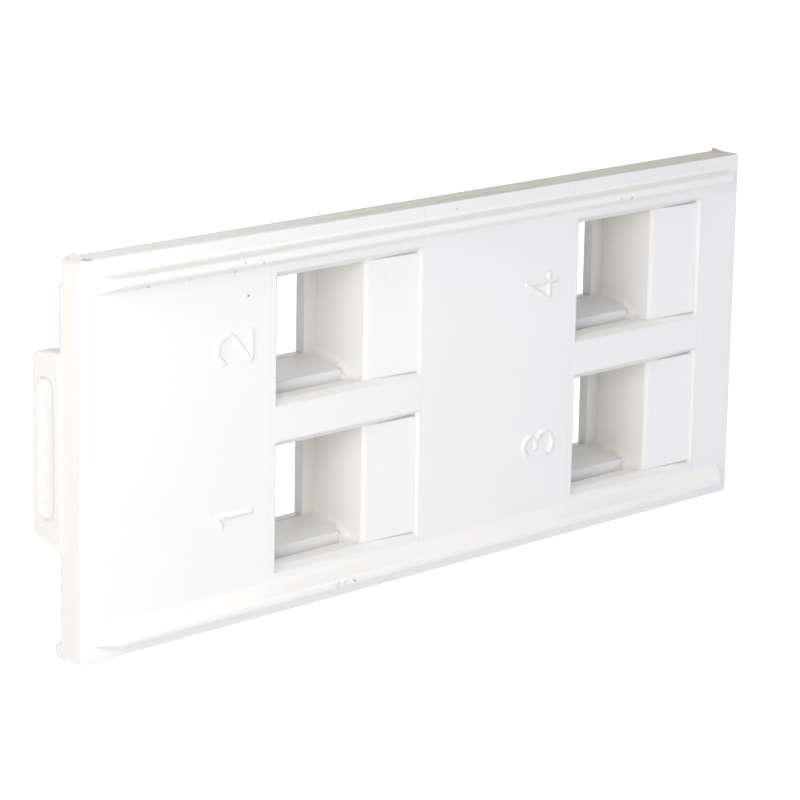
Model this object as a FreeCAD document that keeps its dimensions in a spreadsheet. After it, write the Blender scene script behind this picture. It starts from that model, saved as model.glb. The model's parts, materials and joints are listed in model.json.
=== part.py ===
"""Four-port keystone faceplate, moulded in one piece.

Frame: X to the right along the long side, Z up, Y to the rear. The origin is the centre of the
rear seating face, so the front panel lies at Y = -plate_depth and the jack housings, the end ears
and the bottom corner pips stand behind Y = 0. All sizes are in millimetres.
"""
import FreeCAD
import Part
import Sketcher

import math
import os

SIZES = {
    # rim and panel
    "plate_length": 115.0,
    "plate_height": 47.0,
    "plate_depth": 3.6,       # front panel face to rear seating face
    "panel": 2.4,             # wall of the front panel
    "skirt": 1.9,             # width of the rim round the rear pocket
    "corner_radius": 0.6,     # four corners of the outline
    "edge_radius": 0.3,       # front edge all round
    # snap rails along the two long sides, in front of the panel
    "rail_rise": 2.5,
    "rail_margin": 1.87,      # long edge to the outer foot of the rail
    "rail_foot": 2.2,         # width where the rail leaves the panel
    "rail_lean_out": 0.21,    # draft of the outer side
    "rail_lean_in": 1.02,     # slope of the inner side
    "rail_inset": 1.75,       # plate end to the foot of the rail's end
    "rail_lean_end": 2.2,     # slope of the rail's end
    "rail_radius": 0.4,       # rounding of the crest and the slanted ends
    "rail_root": 0.3,         # fillet where the rail leaves the panel
    # port grid
    "port_margin": 30.04,     # left end to the first column of openings
    "column_pitch": 52.96,
    "row_pitch": 20.6,
    "port_width": 16.0,
    "port_height": 14.9,
    "port_drop": 0.2,         # opening's centre below the middle of its recess
    "port_wall": 3.3,         # front face to the back of the opening's lip
    "low_radius": 1.0,        # lower right corner of the opening
    "high_radius": 0.5,       # upper right corner of the opening
    # finger recess round each opening
    "recess_tail": 8.55,      # opening's right edge to the recess's right edge
    "recess_height": 16.2,
    "recess_depth": 1.2,
    "bevel_run": 0.5,         # slope of the recess's right edge
    "ramp_end": 0.55,         # depth left at the far end of the ramp
    "facet_run": 0.4,
    "facet_drop": 0.5,
    # inside of a jack housing
    "housing_wall": 1.4,
    "housing_depth": 11.2,    # front face to the rear end of the housing
    "groove_depth": 1.0,      # undercut behind the lip
    "groove_drop": 1.0,       # how far it goes below the opening
    "head_room": 0.5,         # how far the inside rises above the opening
    "shelf_step": 1.08,       # shelf above the opening's lower edge
    "shelf_rise": 1.1,        # rise of the shelf towards the rear
    "shelf_gap": 1.1,         # strip beside the right wall that the groove leaves out
    "mouth_sill": 0.1,        # raised edge of the shelf at the rear mouth
    "lead_in": 2.2,           # slope from the lip up to the shelf beside that strip
    "heel": 0.8,              # fillet where the shelf and slope meet the right wall
    "catch_depth": 9.85,      # front face to the catch on the right wall
    "catch_lip": 2.2,
    "notch_depth": 1.3,       # latch notch in the left wall
    "notch_length": 2.0,
    # stiffening ribs across the back
    "rib": 1.4,
    # snap ears on the two short ends
    "ear_proud": 0.3,         # beyond the plate's end
    "ear_reach": 4.57,
    "ear_top": 12.65,          # above the centre line, at the rim
    "ear_bottom": 10.82,       # below the centre line, at the rim
    "ear_top_fall": 0.25,
    "ear_bottom_rise": 1.7,
    "ear_radius": 1.8,
    "slot_front": 0.88,        # rim to the near side of the blind slot
    "slot_width": 2.77,
    "slot_length": 16.74,
    "slot_foot": 3.58,         # ear's lower corner to the lower end of the slot
    "slot_depth": 0.55,
    "ear_edge": 0.2,
    # raised numerals beside the openings, lying on their left sides
    "numeral_gap": 3.7,       # opening's left edge to the foot of the numeral
    "numeral_rise": 0.32,
    # wedge and notch at the two top corners, pip at the two bottom corners
    "wedge_length": 2.3,
    "wedge_peak": 1.8,        # plate end to the highest point
    "wedge_rise": 0.6,
    "wedge_reach": 2.2,       # how far the wedge runs forward
    "notch_rise": 3.0,
    "setback": 0.5,           # depth of the notch in the rim
    "pip_radius": 1.05,
}

FULL_TURN = 2 * math.pi


def make_sheet(doc):
    """Spreadsheet of the driving sizes: name in column A, value in column B."""
    sheet = doc.addObject("Spreadsheet::Sheet", "size")
    for row, (name, value) in enumerate(SIZES.items(), 1):
        sheet.set(f"A{row}", name)
        sheet.set(f"B{row}", str(value))
        sheet.setAlias(f"B{row}", name)
    doc.recompute()
    return sheet


def origin_part(body, role):
    """Plane or axis of the body's own origin."""
    return next(part for part in body.Origin.OriginFeatures if part.Role == role)


def arc_between(start, end, radius):
    """Anticlockwise arc of less than half a turn."""
    chord = end - start
    side = FreeCAD.Vector(-chord.y, chord.x, 0).normalize()
    sagitta = math.sqrt(max(radius**2 - chord.Length**2 / 4, 0))
    centre = (start + end) / 2 + side * sagitta
    first = math.atan2(start.y - centre.y, start.x - centre.x)
    last = math.atan2(end.y - centre.y, end.x - centre.x)
    circle = Part.Circle(centre, FreeCAD.Vector(0, 0, 1), radius)
    return Part.ArcOfCircle(circle, first, last if last > first else last + FULL_TURN)


def outline(body, name, plane, level, nodes, arcs=None, hollows=None):
    """Closed sketch through nodes given as expressions, anticlockwise.

    arcs maps a node to the radius of the outward arc that starts there, hollows to an inward one.
    """
    arcs = arcs or {}
    hollows = hollows or {}
    sketch = body.newObject("Sketcher::SketchObject", name)
    sketch.AttachmentSupport = [(origin_part(body, plane), "")]
    sketch.MapMode = "FlatFace"
    sketch.setExpression("AttachmentOffset.Base.z", level)
    count = len(nodes)
    points = []
    for across, up in nodes:
        points.append(FreeCAD.Vector(sketch.evalExpression(across), sketch.evalExpression(up), 0))
    for index, point in enumerate(points):
        following = points[(index + 1) % count]
        if index in arcs:
            radius = sketch.evalExpression(arcs[index])
            sketch.addGeometry(arc_between(point, following, radius))
        elif index in hollows:
            radius = sketch.evalExpression(hollows[index])
            sketch.addGeometry(arc_between(following, point, radius))
        else:
            sketch.addGeometry(Part.LineSegment(point, following))
    starts = [2 if index in hollows else 1 for index in range(count)]
    for index in range(count):
        following = (index + 1) % count
        joint = Sketcher.Constraint(
            "Coincident", index, 3 - starts[index], following, starts[following]
        )
        sketch.addConstraint(joint)
    for index, (across, up) in enumerate(nodes):
        place(sketch, "DistanceX", index, starts[index], across)
        place(sketch, "DistanceY", index, starts[index], up)
    for index, radius in (arcs | hollows).items():
        value = sketch.evalExpression(radius)
        number = sketch.addConstraint(Sketcher.Constraint("Radius", index, value))
        sketch.setExpression(f"Constraints[{number}]", radius)
    return sketch


def place(sketch, kind, index, vertex, expression):
    """Hold one end of an edge at a distance from the sketch's origin."""
    value = sketch.evalExpression(expression)
    number = sketch.addConstraint(Sketcher.Constraint(kind, -1, 1, index, vertex, value))
    sketch.setExpression(f"Constraints[{number}]", expression)


def extrude(body, kind, name, sketch, length, reverse=False):
    """Pad or Pocket of a sketch."""
    feature = body.newObject(f"PartDesign::{kind}", name)
    feature.Profile = sketch
    feature.setExpression("Length", length)
    feature.Reversed = reverse
    return feature


def loft(body, kind, name, first, last):
    """Ruled loft between two sketches."""
    feature = body.newObject(f"PartDesign::{kind}", name)
    feature.Profile = first
    feature.Sections = [last]
    feature.Ruled = True
    return feature


def mirror(body, name, originals, plane):
    """Mirror features across one of the body's planes."""
    feature = body.newObject("PartDesign::Mirrored", name)
    feature.Originals = originals
    feature.MirrorPlane = (origin_part(body, plane), [""])
    body.Tip = feature
    return feature


def grid(body, name, originals, across, up):
    """Two by two pattern along X and Z."""
    feature = body.newObject("PartDesign::LinearPattern", name)
    feature.Originals = originals
    feature.Direction = (origin_part(body, "X_Axis"), [""])
    feature.Occurrences = 2
    feature.setExpression("Length", across)
    feature.Direction2 = (origin_part(body, "Z_Axis"), [""])
    feature.Occurrences2 = 2
    feature.setExpression("Length2", up)
    body.Tip = feature
    return feature


def round_edges(body, name, chosen, radius):
    """Fillet the edges of the present tip that pass a test."""
    body.Document.recompute()
    base = body.Tip
    names = []
    for number, edge in enumerate(base.Shape.Edges, 1):
        if chosen(edge):
            names.append(f"Edge{number}")
    feature = body.newObject("PartDesign::Fillet", name)
    feature.Base = (base, names)
    feature.setExpression("Radius", radius)
    return feature


def level_of(axis, value):
    """Test for an edge that lies wholly at one level of an axis."""
    def test(edge):
        box = edge.BoundBox
        low = getattr(box, f"{axis}Min")
        high = getattr(box, f"{axis}Max")
        return abs(low - value) < 0.001 and abs(high - value) < 0.001
    return test


def runs_along(axis, edge):
    """Whether an edge is straight along one axis."""
    box = edge.BoundBox
    return abs(getattr(box, f"{axis}Length") - edge.Length) < 0.001


def plate(body, sheet):
    """Rectangular panel with rounded corners and a rounded front edge."""
    side = "size.plate_length / 2"
    top = "size.plate_height / 2"
    nodes = [(f"-{side}", f"-{top}"), (side, f"-{top}"), (side, top), (f"-{side}", top)]
    sketch = outline(body, "plate_outline", "XZ_Plane", "0", nodes)
    extrude(body, "Pad", "plate", sketch, "size.plate_depth")
    round_edges(body, "plate_corners", lambda edge: runs_along("Y", edge), "size.corner_radius")
    front = level_of("Y", -sheet.plate_depth)
    round_edges(body, "front_edge", front, "size.edge_radius")


def rails(body, sheet):
    """Sloped snap rail along the upper side, mirrored to the lower side."""
    side = "(size.plate_length / 2 - size.rail_inset)"
    foot_top = "size.plate_height / 2 - size.rail_margin"
    foot_low = f"{foot_top} - size.rail_foot"
    nodes = [(f"-{side}", foot_low), (side, foot_low), (side, foot_top), (f"-{side}", foot_top)]
    foot = outline(body, "rail_foot", "XZ_Plane", "size.plate_depth", nodes)
    side = "(size.plate_length / 2 - size.rail_inset - size.rail_lean_end)"
    crest_top = f"{foot_top} - size.rail_lean_out"
    crest_low = f"{foot_low} + size.rail_lean_in"
    nodes = [(f"-{side}", crest_low), (side, crest_low), (side, crest_top), (f"-{side}", crest_top)]
    level = "size.plate_depth + size.rail_rise"
    crest = outline(body, "rail_crest", "XZ_Plane", level, nodes)
    rail = loft(body, "AdditiveLoft", "rail", foot, crest)
    mirror(body, "rail_pair", [rail], "XY_Plane")
    front = -sheet.plate_depth - sheet.rail_rise

    def crest_or_end(edge):
        box = edge.BoundBox
        slanted = box.XLength > 1 and box.YLength > 1
        return slanted or level_of("Y", front)(edge)
    round_edges(body, "rail_crests", crest_or_end, "size.rail_radius")
    reach = sheet.plate_height / 2 - sheet.rail_margin + 0.01

    def root(edge):
        box = edge.BoundBox
        return level_of("Y", -sheet.plate_depth)(edge) and max(-box.ZMin, box.ZMax) < reach
    round_edges(body, "rail_roots", root, "size.rail_root")


def rear_pocket(body):
    """Hollow behind the panel, inside the rim."""
    side = "(size.plate_length / 2 - size.skirt)"
    top = "(size.plate_height / 2 - size.skirt)"
    nodes = [(f"-{side}", f"-{top}"), (side, f"-{top}"), (side, top), (f"-{side}", top)]
    sketch = outline(body, "rear_outline", "XZ_Plane", "0", nodes)
    extrude(body, "Pocket", "rear_pocket", sketch, "size.plate_depth - size.panel", True)


FIRST = "(size.port_margin - size.plate_length / 2)"
LOW_ROW = "(-size.row_pitch / 2)"
SILL = f"{LOW_ROW} - size.port_drop - size.port_height / 2"
HEAD = f"{LOW_ROW} - size.port_drop + size.port_height / 2"
BEHIND_PANEL = "size.plate_depth - size.panel"


def at_depth(depth):
    """Level of a sketch that lies this far behind the front face."""
    return f"size.plate_depth - ({depth})"


def ribs(body):
    """Ribs up the back beside each column of housings and under the recess ends."""
    top = "(size.plate_height / 2 - size.skirt)"
    starts = {
        "latch_rib": f"{FIRST} - size.notch_depth - size.housing_wall",
        "tail_rib": f"{FIRST} + size.port_width + size.recess_tail",
    }
    made = []
    for name, start in starts.items():
        end = f"{start} + size.rib"
        nodes = [(start, f"-{top}"), (end, f"-{top}"), (end, top), (start, top)]
        sketch = outline(body, f"{name}_outline", "XZ_Plane", BEHIND_PANEL, nodes)
        made.append(extrude(body, "Pad", name, sketch, BEHIND_PANEL, True))
    pair = body.newObject("PartDesign::LinearPattern", "rib_pairs")
    pair.Originals = made
    pair.Direction = (origin_part(body, "X_Axis"), [""])
    pair.Occurrences = 2
    pair.setExpression("Length", "size.column_pitch")
    body.Tip = pair


def housing(body):
    """Outer block of one jack housing, behind the panel."""
    left = f"{FIRST} - size.notch_depth - size.housing_wall"
    right = f"{FIRST} + size.port_width + size.housing_wall"
    low = f"{SILL} - size.groove_drop - size.housing_wall"
    high = f"{HEAD} + size.head_room + size.housing_wall"
    nodes = [(left, low), (right, low), (right, high), (left, high)]
    sketch = outline(body, "housing_outline", "XZ_Plane", BEHIND_PANEL, nodes)
    return extrude(body, "Pad", "housing", sketch, "size.housing_depth - size.panel", True)


def recess(body):
    """Bevelled finger recess: sloped on three sides, straight beside the opening."""
    tail = f"{FIRST} + size.port_width + size.recess_tail"
    low = f"{LOW_ROW} - size.recess_height / 2"
    high = f"{LOW_ROW} + size.recess_height / 2"
    nodes = [(FIRST, low), (tail, low), (tail, high), (FIRST, high)]
    mouth = outline(body, "recess_mouth", "XZ_Plane", "size.plate_depth", nodes)
    tail = f"{tail} - size.bevel_run"
    nodes = [(FIRST, SILL), (tail, SILL), (tail, HEAD), (FIRST, HEAD)]
    floor = outline(body, "recess_floor", "XZ_Plane", at_depth("size.recess_depth"), nodes)
    return loft(body, "SubtractiveLoft", "recess", mouth, floor)


def plan(body, name, nodes):
    """Sketch seen from above, at the level of the opening's lower edge."""
    placed = []
    for across, depth in nodes:
        placed.append((f"{FIRST} + {across}", f"{depth} - size.plate_depth"))
    return outline(body, name, "XY_Plane", SILL, placed)


def ramp(body):
    """Floor of the recess, rising from the opening to its far end."""
    start = "size.port_width + size.facet_run"
    end = "size.port_width + size.recess_tail"
    deep = "size.recess_depth"
    sketch = plan(body, "ramp_plan", [(start, deep), (end, "size.ramp_end"), (end, deep)])
    return extrude(body, "Pad", "ramp", sketch, "size.port_height")


def facet(body):
    """Slanted lead-in on the opening's right edge."""
    inner = "size.port_width - size.low_radius"
    edge = "size.port_width"
    outer = "size.port_width + size.facet_run"
    deep = "size.recess_depth"
    foot = "size.recess_depth + size.facet_drop"
    nodes = [(inner, deep), (outer, deep), (edge, foot), (inner, foot)]
    sketch = plan(body, "facet_plan", nodes)
    return extrude(body, "Pocket", "facet", sketch, "size.port_height", True)


def opening(body):
    """Front opening with its two rounded right-hand corners."""
    right = f"{FIRST} + size.port_width"
    nodes = [
        (FIRST, SILL),
        (f"{right} - size.low_radius", SILL),
        (right, f"{SILL} + size.low_radius"),
        (right, f"{HEAD} - size.high_radius"),
        (f"{right} - size.high_radius", HEAD),
        (FIRST, HEAD),
    ]
    arcs = {1: "size.low_radius", 3: "size.high_radius"}
    sketch = outline(body, "opening_outline", "XZ_Plane", "size.plate_depth", nodes, arcs)
    return extrude(body, "Pocket", "opening", sketch, "size.port_wall")


def undercuts(body):
    """Groove behind the lip and the latch notch in the left wall."""
    low = f"{SILL} - size.groove_drop"
    high = f"{HEAD} + size.head_room"
    gap = f"{FIRST} + size.port_width - size.shelf_gap"
    notch = f"{FIRST} - size.notch_depth"
    spans = {
        "groove": (FIRST, gap, "size.groove_depth"),
        "notch": (notch, FIRST, "size.notch_length"),
    }
    made = []
    for name, (start, end, length) in spans.items():
        nodes = [(start, low), (end, low), (end, high), (start, high)]
        level = at_depth("size.port_wall")
        sketch = outline(body, f"{name}_outline", "XZ_Plane", level, nodes)
        made.append(extrude(body, "Pocket", name, sketch, length))
    return made


def lead_in(body):
    """Slope from the lip up to the shelf, in the strip beside the right wall."""
    near = "size.port_wall - size.plate_depth"
    middle = f"{near} + size.groove_depth"
    far = f"{near} + size.lead_in"
    run = "(size.catch_depth - size.port_wall - size.groove_depth)"
    rise = f"size.shelf_rise * (size.lead_in - size.groove_depth) / {run}"
    high = f"{HEAD} + size.head_room"
    nodes = [
        (near, SILL),
        (far, f"{SILL} + size.shelf_step + {rise}"),
        (middle, high),
        (near, high),
    ]
    level = f"{FIRST} + size.port_width - size.shelf_gap"
    sketch = outline(body, "lead_in_outline", "YZ_Plane", level, nodes)
    return extrude(body, "Pocket", "lead_in", sketch, "size.shelf_gap", True)


def cavity(body):
    """Jack space above the shelf, which rises to the rear."""
    sections = []
    lifts = {"size.port_wall + size.groove_depth": "0", "size.catch_depth": "size.shelf_rise"}
    for number, (depth, lift) in enumerate(lifts.items(), 1):
        right = f"{FIRST} + size.port_width"
        low = f"{SILL} + size.shelf_step + {lift}"
        high = f"{HEAD} + size.head_room"
        nodes = [(FIRST, low), (right, low), (right, high), (FIRST, high)]
        name = f"cavity_section_{number}"
        sections.append(outline(body, name, "XZ_Plane", at_depth(depth), nodes))
    return loft(body, "SubtractiveLoft", "cavity", *sections)


def rear_mouth(body):
    """Rear way out of the housing, narrowed on the right by the catch."""
    right = f"{FIRST} + size.port_width - size.catch_lip"
    low = f"{SILL} + size.shelf_step + size.shelf_rise + size.mouth_sill"
    high = f"{HEAD} + size.head_room"
    nodes = [(FIRST, low), (right, low), (right, high), (FIRST, high)]
    sketch = outline(body, "mouth_outline", "XZ_Plane", at_depth("size.catch_depth"), nodes)
    return extrude(body, "Pocket", "rear_mouth", sketch, "size.housing_depth - size.catch_depth")


def heels(body, sheet):
    """Fillet from the slope and the shelf up the right wall of every port."""
    first = sheet.port_margin - sheet.plate_length / 2
    columns = (first, first + sheet.column_pitch)
    rows = (-sheet.row_pitch / 2, sheet.row_pitch / 2)
    walls = [column + sheet.port_width for column in columns]

    def heel(edge):
        box = edge.BoundBox
        flat = box.XLength < 0.01 and min(abs(box.XMax - wall) for wall in walls) < 0.01
        row = min(rows, key=lambda level: abs(level - box.Center.z))
        inside = box.YMin > sheet.port_wall - sheet.plate_depth - 0.01
        return flat and inside and box.YLength > 0.9 and box.Center.z < row
    round_edges(body, "heels", heel, "size.heel")


def ports(body, sheet):
    """One port at the lower left, repeated over two columns and two rows."""
    features = [housing(body), recess(body), facet(body), ramp(body), opening(body)]
    features += undercuts(body)
    features += [lead_in(body), cavity(body), rear_mouth(body)]
    grid(body, "port_grid", features, "size.column_pitch", "size.row_pitch")
    heels(body, sheet)


def ears(body, sheet):
    """Snap ear behind the left end, with a blind slot in its outer face, and its mirror."""
    level = "-size.plate_length / 2 - size.ear_proud"
    top = "size.ear_top"
    low = "-size.ear_bottom"
    nodes = [
        ("0", low),
        ("size.ear_reach", f"{low} + size.ear_bottom_rise"),
        ("size.ear_reach", f"{top} - size.ear_top_fall"),
        ("0", top),
    ]
    sketch = outline(body, "ear_outline", "YZ_Plane", level, nodes)
    ear = extrude(body, "Pad", "ear", sketch, "size.skirt + size.ear_proud")
    near = "size.slot_front"
    middle = "size.slot_front + size.slot_width / 2"
    far = "size.slot_front + size.slot_width"
    foot = f"{low} + size.slot_foot"
    head = f"{foot} + size.slot_length"
    bend = "size.slot_width / 2"
    nodes = [
        (far, f"{foot} + {bend}"),
        (far, f"{head} - {bend}"),
        (middle, head),
        (near, f"{head} - {bend}"),
        (near, f"{foot} + {bend}"),
        (middle, foot),
    ]
    arcs = {1: bend, 2: bend, 4: bend, 5: bend}
    sketch = outline(body, "slot_outline", "YZ_Plane", level, nodes, arcs)
    slot = extrude(body, "Pocket", "slot", sketch, "size.slot_depth", True)
    mirror(body, "ear_pair", [ear, slot], "YZ_Plane")
    tip_height = sheet.ear_top - sheet.ear_top_fall

    def upper_tip(edge):
        box = edge.BoundBox
        high = level_of("Z", tip_height)(edge)
        return high and level_of("Y", sheet.ear_reach)(edge) and box.XLength > 1
    round_edges(body, "ear_tips", upper_tip, "size.ear_radius")
    face = sheet.plate_length / 2 + sheet.ear_proud

    def outer_rim(edge):
        box = edge.BoundBox
        outer = abs(abs(box.XMin) - face) < 0.001 and box.XLength < 0.001
        slot = box.YMin > 0.5 and box.YMax < sheet.ear_reach - 0.5
        return outer and not slot and box.YMax > 0.5
    round_edges(body, "ear_edges", outer_rim, "size.ear_edge")


def corners(body):
    """Wedge on the top and notch behind it at the top corners, pip behind the bottom corners."""
    end = "-size.plate_length / 2"
    top = "size.plate_height / 2"
    edge = f"({end} + size.skirt)"
    low = f"({top} - size.notch_rise)"
    nodes = [(end, low), (edge, low), (edge, top), (end, top)]
    sketch = outline(body, "corner_notch_outline", "XZ_Plane", "0", nodes)
    notch = extrude(body, "Pocket", "corner_notch", sketch, "size.setback", True)
    start = f"({end} + size.corner_radius)"
    peak = f"({end} + size.wedge_peak)"
    stop = f"({end} + size.wedge_length)"
    root = f"({top} - size.wedge_rise)"
    sections = []
    rises = {"size.setback": "size.wedge_rise", "size.setback + size.wedge_reach": "0"}
    for number, (level, rise) in enumerate(rises.items(), 1):
        nodes = [
            (start, root),
            (stop, root),
            (stop, f"{top} + {rise} / 8 - 0.05"),
            (peak, f"{top} + {rise} - 0.05"),
            (start, f"{top} + {rise} / 4 - 0.05"),
        ]
        sections.append(outline(body, f"wedge_section_{number}", "XZ_Plane", level, nodes))
    wedge = loft(body, "AdditiveLoft", "wedge", *sections)
    radius = "size.pip_radius"
    foot = "(-size.plate_height / 2)"
    nodes = [("0", foot), (radius, f"{foot} + {radius}"), ("0", f"{foot} + 2 * {radius}")]
    arcs = {0: radius, 1: radius}
    level = "-size.plate_length / 2"
    sketch = outline(body, "pip_outline", "YZ_Plane", level, nodes, arcs)
    pip = extrude(body, "Pad", "pip", sketch, "size.skirt")
    mirror(body, "corner_pair", [notch, wedge, pip], "YZ_Plane")


def around(centre, radius, degrees):
    """Point on a circle."""
    angle = math.radians(degrees)
    return centre[0] + radius * math.cos(angle), centre[1] + radius * math.sin(angle)


def one(half):
    """Outline of the numeral 1 for a stroke of this half width; x to its right, y up."""
    stem, head = 0.5, 5.8
    nodes = [
        (stem - half, 0.4 - half),
        (stem + half, 0.4 - half),
        (stem + half, head + half),
        (stem - 0.31 * half, head + half),
        (stem - 0.98 - 1.39 * half, head - 0.68 + 0.25 * half),
        (stem - 0.98 - 0.25 * half, head - 0.68 - 1.39 * half),
        (stem - half, head - 1.91 * half),
    ]
    return nodes, {}, {}


def two(half):
    """Outline of the numeral 2: bowl, diagonal tangent to it, and foot."""
    centre, bowl, turn, tip = (0, 4.15), 1.65, -50, 165
    slope = math.tan(math.radians(turn + 90))
    outer = around(centre, bowl + half, turn)
    inner = around(centre, bowl - half, turn)
    side = bowl + half
    nodes = [
        (-side, 0.4 - half),
        (side, 0.4 - half),
        (side, 0.4 + half),
        (outer[0] - (outer[1] - 0.4 - half) / slope, 0.4 + half),
        outer,
        around(centre, bowl + half, 60),
        around(centre, bowl + half, tip),
        around(centre, bowl - half, tip),
        around(centre, bowl - half, 60),
        inner,
        (-side, inner[1] - (inner[0] + side) * slope),
    ]
    arcs = {4: bowl + half, 5: bowl + half}
    hollows = {7: bowl - half, 8: bowl - half}
    return nodes, arcs, hollows


def three(half):
    """Outline of the numeral 3: two bowls that meet at its waist."""
    upper, lower = (0, 4.65), (0, 1.95)
    small, large = 1.15, 1.55
    gap = upper[1] - lower[1]
    along = (gap**2 + (small + half) ** 2 - (large + half) ** 2) / (2 * gap)
    waist = (math.sqrt((small + half) ** 2 - along**2), upper[1] - along)
    nodes = [
        around(lower, large + half, -155),
        around(lower, large + half, -60),
        waist,
        around(upper, small + half, 60),
        around(upper, small + half, 155),
        around(upper, small - half, 155),
        around(upper, small - half, 40),
        around(upper, small - half, -90),
        (-0.35 - half, 3.5 + half),
        (-0.35 - half, 3.5 - half),
        around(lower, large - half, 90),
        around(lower, large - half, -40),
        around(lower, large - half, -155),
    ]
    arcs = {0: large + half, 1: large + half, 2: small + half, 3: small + half}
    hollows = {5: small - half, 6: small - half, 10: large - half, 11: large - half}
    return nodes, arcs, hollows


def four(half):
    """Outer outline of the numeral 4."""
    stem, head, bar, side = 0.75, 5.8, 1.8, 1.65
    slant = (stem + side) / (head - bar)
    spread = math.hypot(1, slant)
    nodes = [
        (stem - half, 0.4 - half),
        (stem + half, 0.4 - half),
        (stem + half, bar - half),
        (side + half, bar - half),
        (side + half, bar + half),
        (stem + half, bar + half),
        (stem + half, head + half),
        (stem + (slant - spread) * half, head + half),
        (-side - half, bar + (spread - 1) / slant * half),
        (-side - half, bar - half),
        (stem - half, bar - half),
    ]
    return nodes, {}, {}


def four_counter(half):
    """Triangle inside the numeral 4."""
    stem, head, bar, side = 0.75, 5.8, 1.8, 1.65
    slant = (stem + side) / (head - bar)
    spread = math.hypot(1, slant)
    nodes = [
        (-side + (slant + spread) * half, bar + half),
        (stem - half, bar + half),
        (stem - half, head - (1 + spread) / slant * half),
    ]
    return nodes, {}, {}


def numerals(body):
    """Port numbers on the panel, with sloping flanks, each lying on its left side."""
    column = "size.column_pitch"
    places = {
        "numeral_1": (one, "0", LOW_ROW),
        "numeral_2": (two, "0", f"({LOW_ROW} + size.row_pitch)"),
        "numeral_3": (three, column, LOW_ROW),
        "numeral_4": (four, column, f"({LOW_ROW} + size.row_pitch)"),
        "counter_4": (four_counter, column, f"({LOW_ROW} + size.row_pitch)"),
    }
    levels = {"size.plate_depth": 0.42, "size.plate_depth + size.numeral_rise": 0.12}
    for name, (shape, shift, row) in places.items():
        sections = []
        for number, (level, half) in enumerate(levels.items(), 1):
            points, arcs, hollows = shape(half)
            foot = f"{FIRST} + {shift} - size.numeral_gap"
            nodes = [(f"{foot} - {up:.5f}", f"{row} + {across:.5f}") for across, up in points]
            arcs = {index: f"{radius:.5f}" for index, radius in arcs.items()}
            hollows = {index: f"{radius:.5f}" for index, radius in hollows.items()}
            title = f"{name}_section_{number}"
            sections.append(outline(body, title, "XZ_Plane", level, nodes, arcs, hollows))
        kind = "SubtractiveLoft" if name == "counter_4" else "AdditiveLoft"
        loft(body, kind, name, *sections)


def faceplate(doc, sheet):
    """The whole moulding as one body."""
    body = doc.addObject("PartDesign::Body", "faceplate")
    body.Label = "faceplate"
    body.Placement = FreeCAD.Placement()
    plate(body, sheet)
    rails(body, sheet)
    rear_pocket(body)
    ribs(body)
    ports(body, sheet)
    numerals(body)
    ears(body, sheet)
    corners(body)
    return body


def check(doc, bodies):
    """Stop on any object that failed, and on a body without a valid single solid."""
    for item in doc.Objects:
        if {"Invalid", "Error"} & set(item.State):
            raise RuntimeError(f"{item.Name} failed: {item.State}")
    for body in bodies:
        shape = body.Shape
        if shape.isNull() or not shape.isValid():
            raise RuntimeError(f"{body.Label} has no valid shape")
        if len(shape.Solids) != 1:
            raise RuntimeError(f"{body.Label} has {len(shape.Solids)} solids")


def report(body):
    """Print each feature's volume, so that a cut that removes nothing shows."""
    for item in body.Group:
        if item.TypeId.startswith("PartDesign::"):
            print(f"{item.Name:16} {item.Shape.Volume:10.2f} mm3")
    box = body.Shape.BoundBox
    print(f"{body.Label}: {box.XLength:.2f} x {box.YLength:.2f} x {box.ZLength:.2f} mm")


def main():
    doc = FreeCAD.newDocument("keystone_faceplate")
    sheet = make_sheet(doc)
    body = faceplate(doc, sheet)
    doc.recompute()
    check(doc, [body])
    report(body)
    os.makedirs("parts", exist_ok=True)
    body.Shape.exportStep(os.path.join("parts", f"{body.Label}.step"))


main()
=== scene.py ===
import json
import math

import bpy
from mathutils import Matrix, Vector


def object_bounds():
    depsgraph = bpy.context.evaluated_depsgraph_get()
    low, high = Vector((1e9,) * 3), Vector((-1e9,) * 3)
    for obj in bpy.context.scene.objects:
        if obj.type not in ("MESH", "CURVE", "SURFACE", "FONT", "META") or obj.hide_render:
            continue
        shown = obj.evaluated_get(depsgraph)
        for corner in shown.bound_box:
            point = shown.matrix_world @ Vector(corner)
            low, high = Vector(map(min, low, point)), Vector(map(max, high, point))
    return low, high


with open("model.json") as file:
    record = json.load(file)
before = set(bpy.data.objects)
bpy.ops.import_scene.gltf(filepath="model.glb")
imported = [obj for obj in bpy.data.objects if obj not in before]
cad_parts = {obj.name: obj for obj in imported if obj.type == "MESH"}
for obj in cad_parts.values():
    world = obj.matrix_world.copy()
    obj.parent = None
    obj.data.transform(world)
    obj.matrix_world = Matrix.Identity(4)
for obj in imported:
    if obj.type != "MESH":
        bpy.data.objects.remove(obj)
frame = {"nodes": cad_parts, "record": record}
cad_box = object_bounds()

# ---------------------------------------------------------------------------------------------
# Faceplate. One injection moulding in white ABS: panel, rim, two sloped rails, four recessed
# keystone ports, raised port numbers and two snap ears all come out of the same mould, so there
# is no joint or seam. Its shape is the CAD node's own; what follows is its finish.
# ---------------------------------------------------------------------------------------------
faceplate = frame["nodes"]["faceplate"]
mounts = {mount["name"]: mount["pos_m"] for mount in frame["record"]["mounts"]}

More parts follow.
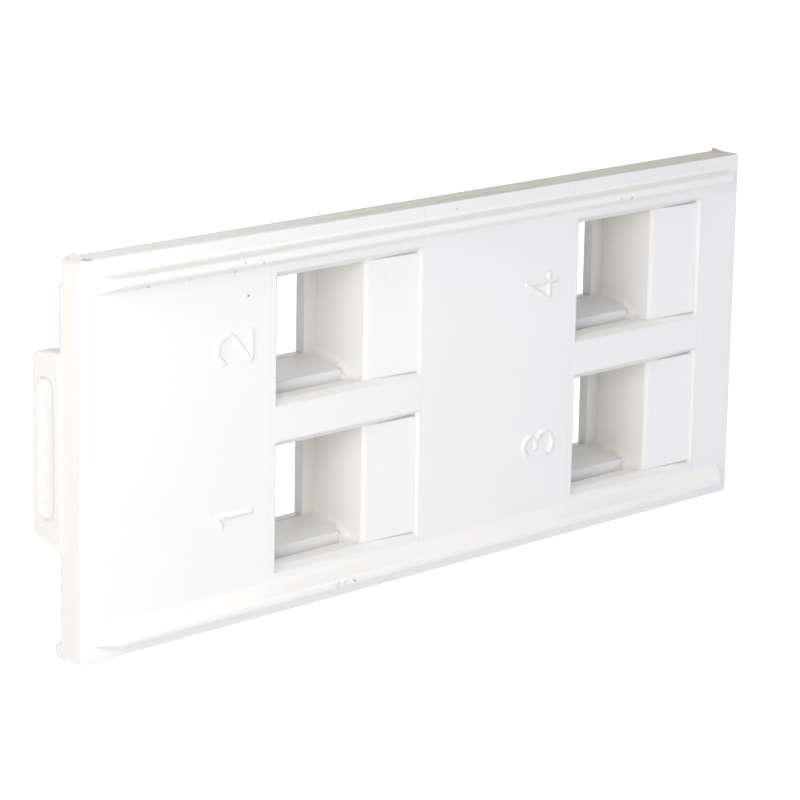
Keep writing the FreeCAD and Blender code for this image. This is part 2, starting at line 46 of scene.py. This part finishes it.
# Places on the plate in mm: X to the right, Y to the rear, Z up.
FRONT = -3.6                              # face of the panel
TOP = 23.5                                # upper long edge
RAILS = 20.9                              # middle of the upper rail, and of the lower one below
INSERT_LINE = -55.75                      # edge of the mould's insert near the left end
PORT_LINES = (-8.94, 16.56)               # edges of a column's insert, from its ports' middle
EAR_SCRATCHES = 0.73                      # of the ejector, to the rear of the ear slot's middle
SCRATCH_LEVELS = (6.2, 2.9, 0.5, -2.8, -5.4)
BLUSH = (-55.8, -2.85)                    # brown blush on the upper edge, as a gate leaves
LINE_FADES = (-22.0, 18.0)                # up where the line near the left end starts, is full
FILM_AND_SHADE_FADES = (-62.0, 10.0)                # across where the film and painted shade on the upper edge does so
PEPPERED = (-39.0, 18.0)                  # middle and half length of the specks on the upper rail
SCUFFED = (-18.2, 2.6)                    # and of the scuff on the lower one
SPECKS = (
    # across, up, radius, strength
    (-32.0, 16.25, 0.23, 0.75),
    (-47.5, 19.45, 0.22, 0.60),
    (-41.2, 19.40, 0.18, 0.35),
    (-34.8, 20.95, 0.20, 0.45),
    (-31.8, 20.50, 0.24, 0.35),
    (-53.0, 20.70, 0.30, 0.12),
    (-34.2, 19.40, 0.25, 0.30),
    (30.9, 20.65, 0.34, 0.20),
    (32.9, 20.55, 0.28, 0.38),
    (2.9, 22.35, 0.20, 0.40),
    (-8.6, 14.85, 0.20, 0.10),
    (-3.5, 14.50, 0.20, 0.14),
    (-16.4, -20.95, 0.22, 0.65),
    (-19.5, -21.00, 0.26, 0.22),
)

# Patterns, as the size in mm of one of their patches, waves or grains.
CLOUDS = 20.0                             # faint unevenness of the white
STREAKS = 3.33                            # film of dirt, with painted shade on the upper edge, streaked along it
SHEEN = 2.86                              # duller and glossier patches
RIPPLE = 1.25                             # orange peel
PEPPER = 0.625                            # fine specks of dirt
SCUFF = 0.556                             # patches of the scuff on the lower rail
GRAIN = 0.143                             # spark-eroded grain, drawn coarse enough to show
STREAK_SQUEEZE = 0.12                     # of the pattern's length, which draws streaks out

# Colours of the plastic and of what lies on it.
WHITE = "e9e8e4"
CLOUD_WHITE = "e7e6e1"
LINE_GREY = "dbd9dc"
# brown of the film: dirt, and on the upper edge painted shade as well
FILM_AND_SHADE_BROWN = "857c5e"
DIRT_BROWN = "4a3b2c"

# How ABS bends light, the roughness of its satin finish, and the finish's relief in metres.
ABS_IOR = 1.53
GLOSSY, DULL = 0.34, 0.46
EDGE_SOFTNESS = 0.00028
RELIEF = 0.0002


def linear(hex_colour):
    """Linear RGBA of an sRGB hex colour."""
    channels = []
    for start in (0, 2, 4):
        value = int(hex_colour[start:start + 2], 16) / 255
        channels.append(value / 12.92 if value <= 0.04045 else ((value + 0.055) / 1.055) ** 2.4)
    return (*channels, 1.0)


def add_node(tree, kind, settings=None, inputs=None):
    """One shader node with its settings, and its inputs linked or set."""
    node = tree.nodes.new(kind)
    for name, value in (settings or {}).items():
        setattr(node, name, value)
    for name, value in (inputs or {}).items():
        socket = node.inputs[name]
        if isinstance(value, bpy.types.NodeSocket):
            tree.links.new(value, socket)
        else:
            socket.default_value = value
    return node


def region(tree, strength, *edges):
    """The strength within soft edges. An edge is a value, where it is gone and where full."""
    for value, outside, inside in edges:
        edge = add_node(tree, "ShaderNodeMapRange", {"interpolation_type": "SMOOTHSTEP"},
                        {"Value": value, "From Min": outside, "From Max": inside})
        both = add_node(tree, "ShaderNodeMath", {"operation": "MULTIPLY"},
                        {0: strength, 1: edge.outputs["Result"]})
        strength = both.outputs["Value"]
    return strength


def stripe(value, middle, half):
    """The two soft edges of a stripe of the value, for region."""
    return ((value, middle - half, middle - half / 2), (value, middle + half, middle + half / 2))


def strongest(tree, marks):
    """Marks laid over each other, the strongest one showing."""
    result = 0.0
    for mark in marks:
        result = add_node(tree, "ShaderNodeMath", {"operation": "MAXIMUM"},
                          {0: result, 1: mark}).outputs["Value"]
    return result


def spot(tree, across, along, middle, radius, strength):
    """A small round mark on a face that the two values span."""
    here = add_node(tree, "ShaderNodeCombineXYZ", None, {"X": across, "Y": along})
    away = add_node(tree, "ShaderNodeVectorMath", {"operation": "DISTANCE"},
                    {0: here.outputs["Vector"], 1: (*middle, 0.0)})
    return region(tree, strength, (away.outputs["Value"], radius, radius / 2))


# White moulded ABS: an opaque pale plastic with a faint warm cast and the soft satin gloss of a
# finely spark-eroded mould. It carries handling dirt on the ledges that face up, on the upper edge
# together with painted shade, a few specks, and the hairline witness marks of the mould's inserts.
white_abs = bpy.data.materials.new("white_moulded_abs")
white_abs.use_nodes = True
tree = white_abs.node_tree
tree.nodes.clear()
metres = add_node(tree, "ShaderNodeTexCoord").outputs["Object"]
place = add_node(tree, "ShaderNodeVectorMath", {"operation": "SCALE"},
                 {0: metres, "Scale": 1000.0}).outputs["Vector"]
axes = add_node(tree, "ShaderNodeSeparateXYZ", None, {"Vector": place})
across, deep, up = axes.outputs["X"], axes.outputs["Y"], axes.outputs["Z"]
on_panel = stripe(deep, FRONT, 0.3)
on_front = (deep, FRONT + 1.8, FRONT + 1.2)
on_rail = (deep, FRONT - 0.3, FRONT - 0.7)
on_top = (up, TOP - 0.25, TOP - 0.05)

# Specks of dirt on the front, and a peppering of finer ones along the upper rail.
marks = [spot(tree, across, up, (x, z), radius, strength) for x, z, radius, strength in SPECKS]
cells = add_node(tree, "ShaderNodeTexVoronoi", None, {"Vector": place, "Scale": 1 / PEPPER})
chance = add_node(tree, "ShaderNodeSeparateColor", None, {"Color": cells.outputs["Color"]})
marks.append(region(
    tree, 0.30, (cells.outputs["Distance"], 0.26, 0.12), (chance.outputs["Red"], 0.66, 0.74),
    *stripe(up, RAILS - 0.3, 1.3), *stripe(across, *PEPPERED), on_rail))

# A scuff on the lower rail, and scratches in the ear's slot.
patches = add_node(tree, "ShaderNodeTexNoise", None, {"Vector": place, "Scale": 1 / SCUFF})
marks.append(region(
    tree, 0.18, (patches.outputs["Fac"], 0.48, 0.62),
    *stripe(up, -RAILS, 0.5), *stripe(across, *SCUFFED)))
on_face = region(tree, strongest(tree, marks), on_front)
ticks = [region(tree, 0.08, *stripe(up, level, 0.12)) for level in SCRATCH_LEVELS]
slot_middle = 1000 * mounts["ear_left"][1]
scratches = region(tree, strongest(tree, ticks), (across, -57.0, -57.2),
                   *stripe(deep, slot_middle + EAR_SCRATCHES, 0.55))
dirt = strongest(tree, (on_face, scratches))

# Brownish film, streaked lengthwise, on the upper edge and faintly on the upper rail's outer
# side. On the upper edge it is partly dirt and partly painted shade of that up-facing edge. It
# thins out to the left, and near that end there is a blush of the same brown.
drawn_out = add_node(tree, "ShaderNodeMapping", None,
                     {"Vector": place, "Scale": (STREAK_SQUEEZE, 1.0, 1.0)}).outputs["Vector"]
lengthwise_noise = add_node(tree, "ShaderNodeTexNoise", None,
                 {"Vector": drawn_out, "Scale": 1 / STREAKS, "Detail": 3.0}).outputs["Fac"]
streaks = strongest(tree, (region(tree, 1.0, (lengthwise_noise, 0.30, 0.72)), 0.60))
ledges = strongest(tree, (
    region(tree, 0.05, on_rail, (up, RAILS - 0.1, RAILS + 0.4)),
    region(tree, 0.95, on_top, (across, *FILM_AND_SHADE_FADES))))
streaked_film_and_shade = add_node(tree, "ShaderNodeMath", {"operation": "MULTIPLY"}, {0: streaks, 1: ledges})
blush = spot(tree, across, deep, BLUSH, 0.75, 0.75)
film_and_shade = strongest(tree, (streaked_film_and_shade.outputs["Value"], region(tree, blush, on_top)))

# Witness lines, about a tenth of a millimetre wide. The one near the left end fades downwards.
lines = [region(tree, 0.75, *stripe(across, INSERT_LINE, 0.14), (up, *LINE_FADES))]
for port in ("port_lower_left", "port_lower_right"):
    middle = 1000 * mounts[port][0]
    lines += [region(tree, 0.35, *stripe(across, middle + line, 0.12)) for line in PORT_LINES]
witness = region(tree, strongest(tree, lines), *on_panel)

clouds = add_node(tree, "ShaderNodeTexNoise", None, {"Vector": place, "Scale": 1 / CLOUDS})
colour = linear(WHITE)
for factor, tint in (
    (region(tree, 0.5, (clouds.outputs["Fac"], 0.30, 0.70)), CLOUD_WHITE),
    # the film: dirt, and painted shade on the upper edge
    (film_and_shade, FILM_AND_SHADE_BROWN),
    (witness, LINE_GREY),
    (dirt, DIRT_BROWN),
):
    mix = add_node(tree, "ShaderNodeMix", {"data_type": "RGBA"},
                   {0: factor, 6: colour, 7: linear(tint)})
    colour = mix.outputs[2]

# Edges that the mould leaves a little soft, an orange-peel ripple and the fine grain.
soft = add_node(tree, "ShaderNodeBevel", {"samples": 4}, {"Radius": EDGE_SOFTNESS})
ripple = add_node(tree, "ShaderNodeTexNoise", None, {"Vector": place, "Scale": 1 / RIPPLE})
fine = add_node(tree, "ShaderNodeTexNoise", None, {"Vector": place, "Scale": 1 / GRAIN})
height = ripple.outputs["Fac"]
for layer, weight in ((fine.outputs["Fac"], 0.12), (witness, -0.25)):
    height = add_node(tree, "ShaderNodeMath", {"operation": "MULTIPLY_ADD"},
                      {0: layer, 1: weight, 2: height}).outputs["Value"]
bump = add_node(tree, "ShaderNodeBump", None, {
    "Height": height, "Strength": 0.10, "Distance": RELIEF, "Normal": soft.outputs["Normal"]})
sheen = add_node(tree, "ShaderNodeTexNoise", None, {"Vector": place, "Scale": 1 / SHEEN})
satin = add_node(tree, "ShaderNodeMapRange", None,
                 {"Value": sheen.outputs["Fac"], "To Min": GLOSSY, "To Max": DULL})
plastic = add_node(tree, "ShaderNodeBsdfPrincipled", None, {
    "Base Color": colour, "Roughness": satin.outputs["Result"], "IOR": ABS_IOR,
    "Normal": bump.outputs["Normal"]})
add_node(tree, "ShaderNodeOutputMaterial", None, {"Surface": plastic.outputs["BSDF"]})
for material_slot in faceplate.material_slots:
    material_slot.material = white_abs

# ---------------------------------------------------------------------------------------------
# Floor and backdrop. A plain pale studio floor well below the plate, which is held by its ears in
# use and not stood on its edge; it runs out to a white surround.
# ---------------------------------------------------------------------------------------------
FLOOR_DROP = 0.060                        # metres below the plate
FLOOR_SIZE = 6.0
PAPER_SHINE = 0.25                        # light that the white paper gives back to the plate
PAPER_WHITE = 0.65                        # and what makes it white to the eye
ROOM_LIGHT = 0.175                        # of the surround, on the plate
bpy.ops.object.select_all(action="DESELECT")
bpy.ops.mesh.primitive_plane_add(size=FLOOR_SIZE, location=(0, 0, cad_box[0][2] - FLOOR_DROP))
floor = bpy.context.object
floor.name = "floor"


def seen_directly(tree):
    """1 for rays from the eye and for those that gloss or a clear part sends on."""
    rays = add_node(tree, "ShaderNodeLightPath").outputs
    kinds = ("Is Camera Ray", "Is Glossy Ray", "Is Transmission Ray")
    return strongest(tree, [rays[kind] for kind in kinds])


# Matt white paper: diffuse, with a glow that lets it run out to pure white round the object.
matt_paper = bpy.data.materials.new("matt_white_paper")
matt_paper.use_nodes = True
tree = matt_paper.node_tree
tree.nodes.clear()
paper = add_node(tree, "ShaderNodeBsdfDiffuse", None, {"Color": linear("dededc")})
strength = add_node(tree, "ShaderNodeMath", {"operation": "MULTIPLY_ADD"},
                    {0: seen_directly(tree), 1: PAPER_WHITE, 2: PAPER_SHINE}).outputs["Value"]
glow = add_node(tree, "ShaderNodeEmission", None,
                {"Color": linear("ffffff"), "Strength": strength})
both = add_node(tree, "ShaderNodeAddShader", None,
                {0: paper.outputs["BSDF"], 1: glow.outputs["Emission"]})
add_node(tree, "ShaderNodeOutputMaterial", None, {"Surface": both.outputs["Shader"]})
floor.data.materials.append(matt_paper)

# The surround: a dim neutral room to the object, plain white to the eye.
studio = bpy.data.worlds.new("studio")
bpy.context.scene.world = studio
studio.use_nodes = True
tree = studio.node_tree
tree.nodes.clear()
room = add_node(tree, "ShaderNodeBackground", None,
                {"Color": linear("fafbff"), "Strength": ROOM_LIGHT})
white = add_node(tree, "ShaderNodeBackground", None,
                 {"Color": linear("ffffff"), "Strength": 1.0})
mix = add_node(tree, "ShaderNodeMixShader", None, {
    0: seen_directly(tree), 1: room.outputs["Background"], 2: white.outputs["Background"]})
add_node(tree, "ShaderNodeOutputWorld", None, {"Surface": mix.outputs["Shader"]})

# ---------------------------------------------------------------------------------------------
# Lamps. A small warm key close by on the left, which falls off along the plate, a broad cool
# light in front, weaker ones above and to the left, and one behind for the rear side.
# ---------------------------------------------------------------------------------------------
LAMPS = {
    # name: degrees left of the front, degrees up, distance, width, watts, colour
    "key": (60, 19, 0.25, 0.15, 0.440, "fff9f5"),
    "front": (-20, 8, 0.60, 0.35, 1.18, "dae4ff"),
    "left": (75, 30, 0.60, 0.35, 0.44, "d6e4ff"),
    "high": (-60, 62, 0.60, 0.35, 1.20, "fffcf4"),
    "rear": (-150, 35, 0.70, 0.50, 0.55, "ffffff"),
}
for name, (heading, height, distance, width, watts, colour) in LAMPS.items():
    heading, height = math.radians(heading), math.radians(height)
    reach = distance * math.cos(height)
    location = (-reach * math.sin(heading), -reach * math.cos(heading), distance * math.sin(height))
    bpy.ops.object.light_add(type="AREA", location=location)
    lamp = bpy.context.object
    lamp.name = name
    lamp.data.shape = "SQUARE"
    lamp.data.size = width
    lamp.data.energy = watts
    lamp.data.color = linear(colour)[:3]
    lamp.rotation_euler = (-lamp.location).to_track_quat("-Z", "Y").to_euler()

# ---------------------------------------------------------------------------------------------
# Camera. Left of the plate and a little above it, looking down its length.
# ---------------------------------------------------------------------------------------------
STAND = (-0.29214, -0.28539, 0.09760)     # metres
NEAREST = 0.01                            # metres from the lens at which things begin to show
HEADING = -45.38                          # degrees, as the two that follow
DOWN = 13.72
ROLL = 0.99
LENS, FILM_WIDTH = 151.22, 36.0           # millimetres
turn = Matrix.Rotation(math.radians(HEADING), 3, "Z")
tilt = Matrix.Rotation(math.radians(90.0 - DOWN), 3, "X")
roll = Matrix.Rotation(math.radians(ROLL), 3, "Z")
bpy.ops.object.camera_add(location=STAND, rotation=(turn @ tilt @ roll).to_euler())
camera = bpy.context.object
camera.data.lens = LENS
camera.data.sensor_width = FILM_WIDTH
camera.data.clip_start = NEAREST
bpy.context.scene.camera = camera
bpy.context.scene.view_settings.view_transform = "Standard"
